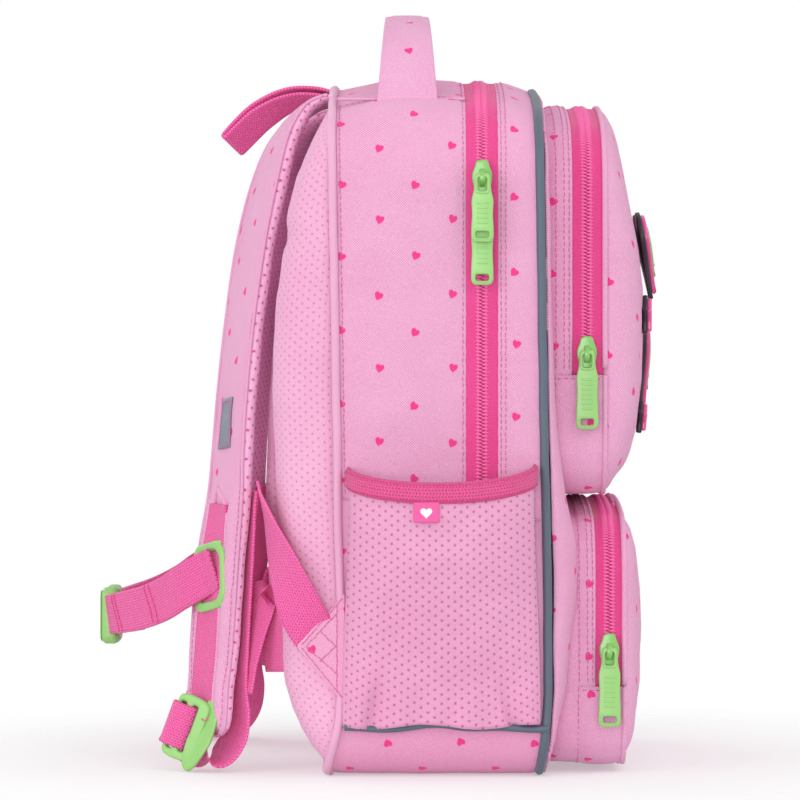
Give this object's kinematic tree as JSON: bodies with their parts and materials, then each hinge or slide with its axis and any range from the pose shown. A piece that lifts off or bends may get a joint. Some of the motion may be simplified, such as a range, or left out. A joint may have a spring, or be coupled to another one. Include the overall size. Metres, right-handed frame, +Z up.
{
  "type": "school backpack",
  "caption": "Child's arched school backpack with zipped main and front pockets, mesh side pockets, padded back and chest-buckled shoulder harness.",
  "frame": {"origin": "centre of the base on the floor, under the middle of the main compartment", "axes": "+Z up, +Y towards the wearer, -Y towards the front pockets, +X to the wearer's right-hand side of the pack seen from the front"},
  "size_m": [0.3593, 0.3057, 0.4178],
  "materials": {
    "print_fabric": "twill printed with small hearts",
    "pocket_mesh": "perforated sports mesh",
    "back_mesh": "padded air mesh",
    "zip_tape": "woven tape",
    "zip_coil": "nylon coil",
    "webbing": "ribbed webbing",
    "binding": "folded elastic binding",
    "piping_grey": "reflective piping",
    "piping_pink": "covered cord piping",
    "slider_paint": "enamelled",
    "green_plastic": "satin moulded",
    "stiffener": "sheet",
    "sleeve_fabric": "plain lining",
    "badge_edge": "moulded",
    "badge_face": "moulded",
    "reflective": "reflective film",
    "tag_fabric": "folded label"
  },
  "bodies": {
    "pack": {"back_panel": "back_mesh", "back_board": "stiffener", "upper_back_pads": "back_mesh", "lower_back_pads": "back_mesh", "rear_piping": "piping_pink", "side_panel_left": "print_fabric", "side_panel_right": "print_fabric", "top_panel": "print_fabric", "base_band": "print_fabric", "base_board": "stiffener", "front_panel_lower": "print_fabric", "front_piping_lower": "piping_grey", "inner_sleeve": "sleeve_fabric", "main_zip_tape_rear": "zip_tape", "handle_feet": "print_fabric", "mesh_pocket_left": "pocket_mesh", "mesh_pocket_right": "pocket_mesh", "pocket_binding_left": "binding", "pocket_binding_right": "binding", "pocket_tag": "tag_fabric", "strap_anchor_patches": "print_fabric", "lower_pocket_gusset": "print_fabric", "lower_pocket_front": "print_fabric", "lower_zip_tape_rear": "zip_tape"},
    "front_flap": {"front_gusset": "print_fabric", "front_panel_upper": "print_fabric", "front_piping_upper": "piping_grey", "main_zip_tape_front": "zip_tape", "upper_pocket_gusset": "print_fabric", "upper_pocket_front": "print_fabric", "upper_zip_tape_rear": "zip_tape"},
    "upper_cover": {"upper_pocket_cover": "print_fabric", "upper_zip_tape_front": "zip_tape", "badge_backing": "badge_edge", "badge_faces": "badge_face"},
    "lower_cover": {"lower_pocket_cover": "print_fabric", "lower_zip_tape_front": "zip_tape"},
    "main_slider_a": {"main_slider_upper": "slider_paint"},
    "main_pull_a": {"main_pull_upper": "green_plastic"},
    "main_slider_b": {"main_slider_lower": "slider_paint"},
    "main_pull_b": {"main_pull_lower": "green_plastic"},
    "upper_slider": {"upper_pocket_slider": "slider_paint"},
    "upper_pull": {"upper_pocket_pull": "green_plastic"},
    "lower_slider": {"lower_pocket_slider": "slider_paint"},
    "lower_pull": {"lower_pocket_pull": "green_plastic"},
    "handle": {"grab_handle": "print_fabric"},
    "loop": {"hanging_loop": "webbing"},
    "harness": {"shoulder_strap_left": "print_fabric", "shoulder_strap_right": "print_fabric", "rail_webbing": "webbing", "reflective_patches": "reflective", "strap_adjusters": "green_plastic", "lower_webbing_left": "webbing", "lower_webbing_right": "webbing"},
    "chest_strap": {"sternum_sliders": "green_plastic", "sternum_webbing_left": "webbing", "sternum_webbing_right": "webbing", "buckle_socket": "green_plastic"},
    "buckle_tongue": {"buckle_plug": "green_plastic"}
  },
  "joints": [
    {"name": "main_flap_hinge", "type": "hinge", "parent": "pack", "child": "front_flap", "pos_m": [0, -0.08, 0.148], "axis": [1, 0, 0], "range_deg": [0, 35]},
    {"name": "upper_pocket_hinge", "type": "hinge", "parent": "front_flap", "child": "upper_cover", "pos_m": [0, -0.1125, 0.213], "axis": [1, 0, 0], "range_deg": [0, 40]},
    {"name": "lower_pocket_hinge", "type": "hinge", "parent": "pack", "child": "lower_cover", "pos_m": [0, -0.1125, 0.046], "axis": [1, 0, 0], "range_deg": [0, 40]},
    {"name": "main_slider_round_corner", "type": "hinge", "parent": "pack", "child": "main_slider_a", "pos_m": [-0.095, -0.0215, 0.318], "axis": [0, 1, 0], "range_deg": [0, 72]},
    {"name": "main_pull_a_swing", "type": "hinge", "parent": "main_slider_a", "child": "main_pull_a", "pos_m": [-0.1498, -0.0215, 0.3175], "axis": [0, 1, 0], "range_deg": [0, 150]},
    {"name": "main_slider_down", "type": "slide", "parent": "pack", "child": "main_slider_b", "axis": [0, 0, -1], "range_m": [0, 0.138]},
    {"name": "main_pull_b_swing", "type": "hinge", "parent": "main_slider_b", "child": "main_pull_b", "pos_m": [-0.1452, -0.0215, 0.299], "axis": [0, 1, 0], "range_deg": [0, 8]},
    {"name": "upper_slider_up", "type": "slide", "parent": "front_flap", "child": "upper_slider", "axis": [0, 0, 1], "range_m": [0, 0.083]},
    {"name": "upper_pull_swing", "type": "hinge", "parent": "upper_slider", "child": "upper_pull", "pos_m": [-0.1232, -0.078, 0.2245], "axis": [0, 1, 0], "range_deg": [0, 150]},
    {"name": "lower_slider_up", "type": "slide", "parent": "pack", "child": "lower_slider", "axis": [0, 0, 1], "range_m": [0, 0.035]},
    {"name": "lower_pull_swing", "type": "hinge", "parent": "lower_slider", "child": "lower_pull", "pos_m": [-0.1232, -0.09, 0.0655], "axis": [0, 1, 0], "range_deg": [0, 150]},
    {"name": "handle_tilt", "type": "hinge", "parent": "pack", "child": "handle", "pos_m": [0, 0.018, 0.369], "axis": [1, 0, 0], "range_deg": [-20, 20], "stiffness_Nm_per_rad": 0.3},
    {"name": "loop_lift", "type": "hinge", "parent": "pack", "child": "loop", "pos_m": [0, 0.06, 0.3725], "axis": [1, 0, 0], "range_deg": [0, 50]},
    {"name": "harness_swing", "type": "hinge", "parent": "pack", "child": "harness", "pos_m": [0, 0.058, 0.362], "axis": [1, 0, 0], "range_deg": [0, 18], "stiffness_Nm_per_rad": 1.2, "deforming": ["lower_webbing_left", "lower_webbing_right"]},
    {"name": "chest_strap_height", "type": "slide", "parent": "harness", "child": "chest_strap", "axis": [0, 0.0985, -0.9951], "range_m": [-0.02, 0.036]},
    {"name": "buckle_release", "type": "slide", "parent": "chest_strap", "child": "buckle_tongue", "axis": [1, 0, 0], "range_m": [0, 0.018], "deforming": ["sternum_webbing_right"]}
  ]
}
